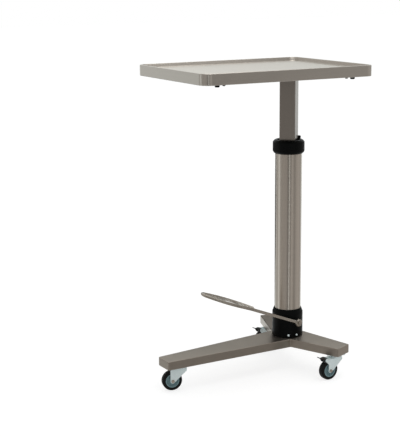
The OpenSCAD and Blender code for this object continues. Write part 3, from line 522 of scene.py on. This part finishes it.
# a cap with a tapered foot and a chamfered top, a hole for the mast's guide and a bore for the column
def buildCollar():
    low, high = (corner[2]/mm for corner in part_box("collar"))
    r, c, roof = collar["radius"], collar["chamfer"], high - collar["roof"]
    bore, hole = column["radius"] + column["gap"], collar["hole"]
    turnedPiece("collarCap", [
        (bore, low), (r - collar["foot"], low), (r, low + collar["footRise"]), (r, high - c), (r - c, high),
        (hole, high), (hole, roof), (bore - collar["ledge"], roof), (bore, low + collar["boreDepth"]),
    ], collar["bends"], "blackMoulding", "collar", steps=8)


# a straight shell that closes in a cone round the column
def buildHousing():
    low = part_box("pump_housing")[0][2]/mm
    r, w = housing["radius"], housing["wall"]
    top = low + housing["straight"]
    coneTop = top + housing["cone"]
    lip = column["radius"] + column["gap"]
    turnedPiece("housingShell", [
        (r - w, low), (r, low), (r, top), (lip + housing["lipWidth"], coneTop), (lip, coneTop),
        (lip, coneTop - housing["lipDepth"]), (r - w, top - housing["shoulder"]),
    ], housing["bends"], "blackMoulding", "pump_housing", steps=6)


buildColumn()
buildCollar()
buildHousing()
print("column, collar and housing built")

base = {
    "reach": 558, "end": 74, "root": 129, "notch": 30, "shortReach": 259, "shortAngle": 71, "shortEnd": 76,
    "heel": 71, "corner": 4, "wall": 3, "edge": 2.6, "chamfer": 0.5, "topBand": 0.6,
}


# one folded sheet that stays open below: the rounded plan is swept through (inset, height), and the arc of
# its top edge is inset = e*(1 - cos t), height = top - e*(1 - sin t)
def buildBase():
    low, high = (corner[2]/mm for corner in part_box("base_shell"))
    a, half = math.radians(base["shortAngle"]), base["shortEnd"]/2
    x, y = base["shortReach"]*math.cos(a), base["shortReach"]*math.sin(a)
    inner = (x - half*math.sin(a), y + half*math.cos(a))
    outer = (x + half*math.sin(a), y - half*math.cos(a))
    side = [(-base["reach"], base["end"]/2), (-base["notch"], base["root"]/2), inner, outer]
    near = [(px, -py) for px, py in side]
    outline = roundedPath(near + [(base["heel"], 0)] + side[::-1], base["corner"], 6)
    e, w, c = base["edge"], base["wall"], base["chamfer"]
    arc = [(e*(1 - math.cos(t)), high - e*(1 - math.sin(t))) for t in np.linspace(0, math.pi/2, 6)]
    rows = [(w, high - w), (w, low), (c, low), (0, low + c)] + arc + [(e + base["topBand"], high)]
    piece = stackedOutline("baseFoldedSheet", outline, rows, onColumn, sharp=40)
    finishPiece(piece, "baseSheet", "stand", "base_shell")


buildBase()
print("base built")

pedal = {
    "side": 73, "rise": 20.8, "lean": 14, "rod": 12, "start": 187, "middle": 300, "reach": 412, "width": 76,
    "bow": 17, "neck": 30, "tip": 20, "boss": 28, "inBoss": 1, "bendGap": 2,
}


# arcs in the pedal's own plane, u along the rod and v towards the far rail:
# centre + r*(cos a, sin a), each arc starting where the last one ends
def pedalPath():
    p = pedal
    run = p["middle"] - p["start"]
    bowTurn = 2*math.atan(p["bow"]/run)
    bowR = run/(2*math.sin(bowTurn))
    tipU = p["reach"] - p["rod"]/2
    sideRun = tipU - p["tip"] - p["middle"]
    sideTurn = 2*math.atan((p["width"]/2 - p["tip"])/sideRun)
    sideR = sideRun/math.sin(sideTurn) + p["tip"]
    farTop = p["width"] - p["bow"]
    farTurn = 2*math.atan((farTop - p["neck"])/run)
    farR = run/math.sin(farTurn)
    middle = farTop - p["width"]/2
    half = math.pi/2

    def arc(centre, r, a, b, steps):
        t = np.linspace(a, b, steps)
        return np.asarray(centre) + r*np.stack([np.cos(t), np.sin(t)], 1)

    parts = [
        np.stack([np.linspace(p["boss"]/2 - p["inBoss"], p["start"] - p["bendGap"], 12), np.zeros(12)], 1),
        arc((p["start"], -bowR), bowR, half, half - bowTurn, 10),
        arc((p["middle"], bowR - p["bow"]), bowR, 3*half - bowTurn, 3*half, 10)[1:],
        arc((p["middle"], sideR - p["bow"]), sideR, 3*half, 3*half + sideTurn, 14)[1:],
        arc((tipU - p["tip"], middle), p["tip"], sideTurn - half, half - sideTurn, 22)[1:],
        arc((p["middle"], farTop - sideR), sideR, half - sideTurn, half, 14)[1:],
        arc((p["middle"], farTop - farR), farR, half, half + farTurn, 16)[1:],
    ]
    return np.concatenate(parts)


# the pedal's plane: u leans in over the long leg and rises, v lies level
def pedalFrame():
    lean, rise = math.radians(pedal["lean"]), math.radians(pedal["rise"])
    u = np.array([-math.cos(lean)*math.cos(rise), math.sin(lean)*math.cos(rise), math.sin(rise)])
    v = np.array([math.sin(lean), math.cos(lean), 0.0])
    shaftLow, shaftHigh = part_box("pedal_shaft")
    origin = np.array([axisX, axisY - pedal["side"]*mm, (shaftLow[2] + shaftHigh[2])/2])
    return origin, u, v


# a round rod along the path put in the pedal's plane: P = origin + a*u + b*v
def buildPedal():
    origin, u, v = pedalFrame()
    path = pedalPath()*mm
    line = origin + path[:, 0:1]*u + path[:, 1:2]*v
    piece = rodAlong("pedalBentRod", line, np.cross(u, v), pedal["rod"]/2*mm)
    finishPiece(piece, "plainSteel", "pedal", "pedal_lever")


buildPedal()
print("pedal built")

# each caster's turn at rest, and the wheel: grooves, web and ribs are given from its middle plane outwards
wheel = {
    "turns": {"long": -15, "near": 0, "far": 0}, "radius": 37.5, "half": 12, "hub": 26,
    "shoulder": 5, "shoulderWidth": 2.6, "beadInset": 0.4, "grooves": (6.3, 6, 5.2, 4.9), "grooveDepth": 0.7,
    "tyreBends": [0.3, 3, 3.4, 0.2, 0.1, 0.1, 0.2],
    "bore": 4.05, "boss": 13.1, "bossRadius": 10.4, "web": ((10.9, 6.5), (20.6, 4.3)), "rimInside": 21.9,
    "rimInset": 1, "fitGap": 0.02,
    "hubBends": [0.4, 1, 1.5, 1.8, 0.7, 0.4],
    "ribs": 6, "ribStart": 0.3, "ribLength": 11.5, "ribWidth": 2.2, "ribCorner": 0.7, "ribMiddle": 16.3,
    "ribRows": ((0, 3.6), (0, 8.2), (0.25, 8.6), (0.6, 8.8), (0.8, 8.8)),
}


# the wheel's centre, and its axle level and across the caster's turn a: (-sin a, cos a, 0)
def wheelFrame(name):
    low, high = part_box(name + "_caster_hub")
    centre = (np.array(low) + np.array(high))/2
    a = math.radians(wheel["turns"][name])
    return centre, np.array([-math.sin(a), math.cos(a), 0.0])


# the outline of one side as (radius, place along the axle), with its mirror image on the other side
def bothSides(half, bends, steps):
    return roundedPath(half + [(r, -along) for r, along in half[::-1]], bends + bends[::-1], steps)


# tyre with rounded shoulders and two grooves
def buildTyre(name):
    centre, axle = wheelFrame(name)
    r, w = wheel["radius"], wheel["half"]
    bottom = r - wheel["grooveDepth"]
    outer, outerLow, innerLow, inner = wheel["grooves"]
    half = [
        (wheel["hub"], wheel["beadInset"] - w), (r - wheel["shoulder"], -w), (r, wheel["shoulderWidth"] - w),
        (r, -outer), (bottom, -outerLow), (bottom, -innerLow), (r, -inner),
    ]
    piece = revolved(name + "TyreTread", bothSides(half, wheel["tyreBends"], 5), centre, 120, axle)
    finishPiece(piece, "tyreRubber", name + "_wheel", name + "_caster_tyre")


# hub turned from its profile, P = centre + h*axle + r*(cos a*across + sin a*up), with ribs on both sides of
# the web, each an outline moved in by its rows: P = centre + x*out + y*along + h*axle
def buildHub(name):
    centre, axle = wheelFrame(name)
    hub, w, boss = wheel["hub"] - wheel["fitGap"], wheel["half"] - wheel["rimInset"], wheel["boss"]
    half = [(wheel["bore"], -boss), (wheel["bossRadius"], -boss)] + [(r, -h) for r, h in wheel["web"]] \
        + [(wheel["rimInside"], -w), (hub, -w)]
    profile = bothSides(half, wheel["hubBends"], 4)*mm
    up = np.array([0.0, 0.0, 1.0])
    across = np.cross(axle, up)
    a = np.linspace(0, 2*np.pi, 96, endpoint=False)
    ring = np.cos(a)[:, None]*across + np.sin(a)[:, None]*up
    parts = [gridFaces(centre + profile[:, None, 1:2]*axle + profile[:, None, 0:1]*ring[None], closeU=True)]
    outline = rectangle(wheel["ribLength"], wheel["ribWidth"], wheel["ribCorner"], 4)
    rows = np.array(wheel["ribRows"])
    flat = (outline[None] - rows[:, None, 0:1]*outlineNormals(outline)[None])*mm
    for k in range(wheel["ribs"]):
        t = 2*math.pi*k/wheel["ribs"] + wheel["ribStart"]
        out = math.cos(t)*across + math.sin(t)*up
        along = np.cross(axle, out)
        for side in (-1, 1):
            grid = centre + (flat[..., 0:1] + wheel["ribMiddle"]*mm)*out + flat[..., 1:2]*along \
                + side*rows[:, None, 1:2]*mm*axle
            parts.append(gridFaces(grid, caps=(False, True)))
    piece = joinGrids(name + "HubRibbed", parts)
    finishPiece(piece, "hubMoulding", name + "_wheel", name + "_caster_hub")


for name in wheel["turns"]:
    buildTyre(name)
    buildHub(name)
print("wheels built")


# the solids that stay take their look by their slot, or by the end of their own name
slotLooks = {
    "bare_steel": "plainSteel", "tray_steel": "plainSteel", "zinc": "zincPlate", "chromed_ram": "ramChrome",
    "black_plastic": "blackMoulding", "black_steel": "blackPaint", "pale_nylon": "nylon",
    "buffer_rubber": "tyreRubber", "hub_plastic": "hubMoulding", "tyre_rubber": "tyreRubber",
}
ownLooks = {
    "caster_axle": "plainSteel", "caster_bearing": "ramChrome", "pedal_bolt": "plainSteel",
    "pedal_bush": "blackPaint", "pedal_tread": "treadSteel",
}
for row in frame["record"]["subparts"]:
    name = row["node"]
    own = next((look for key, look in ownLooks.items() if name.endswith(key)), None)
    look = looks[own or slotLooks[row["material_slot"]]]
    for place in nodes[name].material_slots:
        place.material = look
print("solids painted:", len(nodes))


# sharp edges of the pressed and turned solids are broken by a small bevel, once their split faces are welded
edgeBreaks = {
    "caster_fork": 0.7, "brake_lever": 0.5, "caster_plate": 0.5, "caster_axle": 0.4, "pedal_boss": 0.6,
    "pedal_bolt": 0.6, "tray_buffers": 0.5, "carrier_screws": 0.5, "caster_screws": 0.5, "pedal_tread": 0.4,
    "mast_head": 0.5, "tray_carrier": 0.6, "swivel_nut": 0.6, "collar_knob": 0.4, "leg_end_plates": 0.5,
}
breakSettings = {"weldWithin": 0.02, "sharperThan": 38, "segments": 2}
for name, node in nodes.items():
    width = next((w for key, w in edgeBreaks.items() if name.endswith(key)), None)
    if width is None:
        continue
    weld = node.modifiers.new("mergeSplitFaces", "WELD")
    weld.merge_threshold = breakSettings["weldWithin"]*mm
    bevel = node.modifiers.new("brokenEdges", "BEVEL")
    bevel.width = width*mm
    bevel.segments = breakSettings["segments"]
    bevel.limit_method = "ANGLE"
    bevel.angle_limit = math.radians(breakSettings["sharperThan"])
print("edges broken")


studio = {
    "cameraFromColumn": (-2436.6, -3350.8, 1489.9), "azimuth": 31.352, "down": 12.278, "roll": -0.578,
    "lens": 90.92, "floorSize": 60.0, "floorGrey": 0.4, "floorGlow": 0.74, "floorBounce": 0.75,
    "worldLight": 0.7,
    # how bright the room is in reflections, by the direction in plan: degrees from the X axis and a grey,
    # for its lower part, for the walls above eye level, and for the ceiling
    "lowRoom": [
        (0, 0.34), (10, 0.4), (17, 0.9), (30, 1.0), (84, 1.0), (106, 0.75), (115, 0.72), (121, 0.18),
        (128, 0.4), (141, 0.75), (147, 0.95), (153, 0.95), (157, 0.36), (177, 0.33), (187, 0.38), (222, 0.37),
        (232, 0.14), (240, 0.14), (241.5, 1.0), (246, 1.0), (248, 0.3), (254, 0.16), (259, 0.3), (266, 0.52),
        (276, 0.46), (286, 0.29), (296, 0.22), (304, 0.4), (330, 0.5), (344, 0.5), (360, 0.34),
    ],
    "highRoom": [
        (0, 0.4), (18, 0.75), (34, 1.0), (84, 1.0), (102, 0.55), (180, 0.45), (200, 0.4), (240, 0.3),
        (300, 0.36), (360, 0.4),
    ],
    "ceiling": 0.9, "wallLevels": ((2, 10), (42, 68)), "darkTint": 0.965, "lightTint": 1.02, "lightFrom": 0.6,
    "darkCard": {"grey": 0.12, "away": 1200, "left": 1500, "right": 520, "top": 770, "azimuth": 58.7},
    "softTop": {"spot": (0.2, -0.4, 3.6), "aim": (0, 0, 0.6), "size": (2.4, 2.4), "power": 26},
}


# the viewpoint without shift that comes nearest to the photograph's own, which was solved from the straight
# edges of the tray and the base
def buildCamera():
    data = bpy.data.cameras.new("photoCamera")
    data.lens = studio["lens"]
    data.sensor_width = 36
    data.clip_end = 60
    camera = bpy.data.objects.new("photoCamera", data)
    bpy.context.scene.collection.objects.link(camera)
    a, e, roll = (math.radians(studio[key]) for key in ("azimuth", "down", "roll"))
    forward = Vector((math.sin(a)*math.cos(e), math.cos(a)*math.cos(e), -math.sin(e)))
    right = Vector((math.cos(a), -math.sin(a), 0))
    up = right.cross(forward)
    right, up = right*math.cos(roll) + up*math.sin(roll), up*math.cos(roll) - right*math.sin(roll)
    turn = Matrix((right, up, -forward)).transposed().to_4x4()
    x, y, z = (value*mm for value in studio["cameraFromColumn"])
    camera.matrix_world = Matrix.Translation((axisX + x, axisY + y, z)) @ turn
    bpy.context.scene.camera = camera


# a grey by the direction in plan, between the stops of a list, tinted a little by how dark it is
def roomRamp(tree, turn, greys):
    ramp = addNode(tree, "ShaderNodeValToRGB")
    ramp.color_ramp.interpolation = "LINEAR"
    stops = ramp.color_ramp.elements
    for k, (degrees, grey) in enumerate(greys):
        spot = stops[k] if k < 2 else stops.new(degrees/360)
        spot.position = degrees/360
        warmth = studio["darkTint"] if grey < studio["lightFrom"] else studio["lightTint"]
        spot.color = (grey/max(warmth, 1)**2, grey*min(warmth, 1), grey*min(warmth, 1)**2, 1)
    tree.links.new(turn, ramp.inputs[0])
    return ramp.outputs["Color"]


# mixes two colours, the second one above the horizon by two angles, between which it comes in
def mixAbove(tree, height, levels, below, above):
    rise = addNode(tree, "ShaderNodeMapRange", interpolation_type="SMOOTHSTEP")
    tree.links.new(height, rise.inputs["Value"])
    rise.inputs["From Min"].default_value = math.sin(math.radians(levels[0]))
    rise.inputs["From Max"].default_value = math.sin(math.radians(levels[1]))
    return mixColors(tree, rise.outputs["Result"], below, above)


# a mix of two colours, each a socket or a plain grey
def mixColors(tree, factor, first, second):
    mix = addNode(tree, "ShaderNodeMix", data_type="RGBA")
    tree.links.new(factor, mix.inputs["Factor"])
    for slot, value in ((6, first), (7, second)):
        if isinstance(value, float):
            mix.inputs[slot].default_value = (value, value, value, 1)
        else:
            tree.links.new(value, mix.inputs[slot])
    return mix.outputs[2]


# white to the camera, a soft grey for the light that falls on the object, and a room with light and dark
# sides in reflections, read from the angle atan2(y, x) and the height z of the direction
def buildWorld():
    world = bpy.data.worlds.new("paleStudio")
    world.use_nodes = True
    bpy.context.scene.world = world
    tree = world.node_tree
    link = tree.links.new
    place = addNode(tree, "ShaderNodeTexCoord")
    split = addNode(tree, "ShaderNodeSeparateXYZ")
    link(place.outputs["Generated"], split.inputs[0])
    angle = addNode(tree, "ShaderNodeMath", operation="ARCTAN2")
    link(split.outputs["Y"], angle.inputs[0])
    link(split.outputs["X"], angle.inputs[1])
    part = addNode(tree, "ShaderNodeMath", operation="DIVIDE")
    link(angle.outputs[0], part.inputs[0])
    part.inputs[1].default_value = 2*math.pi
    turn = addNode(tree, "ShaderNodeMath", operation="FRACT")
    link(part.outputs[0], turn.inputs[0])
    low, high = (roomRamp(tree, turn.outputs[0], studio[key]) for key in ("lowRoom", "highRoom"))
    eye, top = studio["wallLevels"]
    room = mixAbove(tree, split.outputs["Z"], eye, low, high)
    room = mixAbove(tree, split.outputs["Z"], top, room, studio["ceiling"])
    rays = addNode(tree, "ShaderNodeLightPath")
    seen = addNode(tree, "ShaderNodeMath", operation="MAXIMUM")
    link(rays.outputs["Is Camera Ray"], seen.inputs[0])
    link(rays.outputs["Is Transmission Ray"], seen.inputs[1])
    light = mixColors(tree, rays.outputs["Is Glossy Ray"], studio["worldLight"], room)
    link(mixColors(tree, seen.outputs[0], light, 1.0), tree.nodes["Background"].inputs["Color"])


# pale floor that the camera sees as white with the object's soft shadow, that sends light back up and stays
# out of reflections
def buildFloor():
    s = studio["floorSize"]/2
    mesh = bpy.data.meshes.new("studioFloor")
    mesh.from_pydata([(-s, -s, 0), (s, -s, 0), (s, s, 0), (-s, s, 0)], [], [(0, 1, 2, 3)])
    floor = bpy.data.objects.new("studioFloor", mesh)
    bpy.context.scene.collection.objects.link(floor)
    material = bpy.data.materials.new("studioFloor")
    material.use_nodes = True
    tree = material.node_tree
    tree.nodes.remove(tree.nodes["Principled BSDF"])
    out = tree.nodes["Material Output"]
    plain = addNode(tree, "ShaderNodeBsdfDiffuse")
    plain.inputs["Color"].default_value = (studio["floorGrey"],)*3 + (1,)
    glow = addNode(tree, "ShaderNodeEmission")
    glow.inputs["Strength"].default_value = studio["floorGlow"]
    both = addNode(tree, "ShaderNodeAddShader")
    tree.links.new(plain.outputs[0], both.inputs[0])
    tree.links.new(glow.outputs[0], both.inputs[1])
    bounce = addNode(tree, "ShaderNodeBsdfDiffuse")
    bounce.inputs["Color"].default_value = (studio["floorBounce"],)*3 + (1,)
    rays = addNode(tree, "ShaderNodeLightPath")
    seen = addNode(tree, "ShaderNodeMath", operation="MAXIMUM")
    tree.links.new(rays.outputs["Is Camera Ray"], seen.inputs[0])
    tree.links.new(rays.outputs["Is Glossy Ray"], seen.inputs[1])
    mix = addNode(tree, "ShaderNodeMixShader")
    tree.links.new(seen.outputs[0], mix.inputs[0])
    tree.links.new(bounce.outputs[0], mix.inputs[1])
    tree.links.new(both.outputs[0], mix.inputs[2])
    tree.links.new(mix.outputs[0], out.inputs["Surface"])
    mesh.materials.append(material)
    floor.visible_glossy = False


# a grey card that stands behind the object and shows in reflections alone: it darkens the steel of the base
def buildDarkCard():
    card = studio["darkCard"]
    a = math.radians(card["azimuth"])
    out, left = np.array([math.cos(a), math.sin(a), 0]), np.array([-math.sin(a), math.cos(a), 0])
    middle = np.array([axisX, axisY, 0]) + out*card["away"]*mm
    low = [middle + left*card["left"]*mm, middle - left*card["right"]*mm]
    rise = np.array([0, 0, card["top"]*mm])
    mesh = bpy.data.meshes.new("darkCard")
    mesh.from_pydata([tuple(v) for v in (low[0], low[1], low[1] + rise, low[0] + rise)], [], [(0, 1, 2, 3)])
    piece = bpy.data.objects.new("darkCard", mesh)
    bpy.context.scene.collection.objects.link(piece)
    material = bpy.data.materials.new("darkCard")
    material.use_nodes = True
    tree = material.node_tree
    tree.nodes.remove(tree.nodes["Principled BSDF"])
    glow = addNode(tree, "ShaderNodeEmission")
    glow.inputs["Color"].default_value = (card["grey"],)*3 + (1,)
    tree.links.new(glow.outputs[0], tree.nodes["Material Output"].inputs["Surface"])
    mesh.materials.append(material)
    for ray in ("camera", "diffuse", "transmission", "volume_scatter", "shadow"):
        setattr(piece, "visible_" + ray, False)


# a soft square lamp that the camera does not see
def buildLamp(name):
    values = studio[name]
    data = bpy.data.lights.new(name, "AREA")
    data.shape = "RECTANGLE"
    data.size, data.size_y = values["size"]
    data.energy = values["power"]
    lamp = bpy.data.objects.new(name, data)
    bpy.context.scene.collection.objects.link(lamp)
    lamp.location = values["spot"]
    lamp.rotation_euler = (Vector(values["aim"]) - Vector(values["spot"])).to_track_quat("-Z", "Y").to_euler()
    lamp.visible_camera = False


buildCamera()
buildWorld()
buildFloor()
buildDarkCard()
buildLamp("softTop")
bpy.context.scene.view_settings.view_transform = "Standard"
print("studio built")
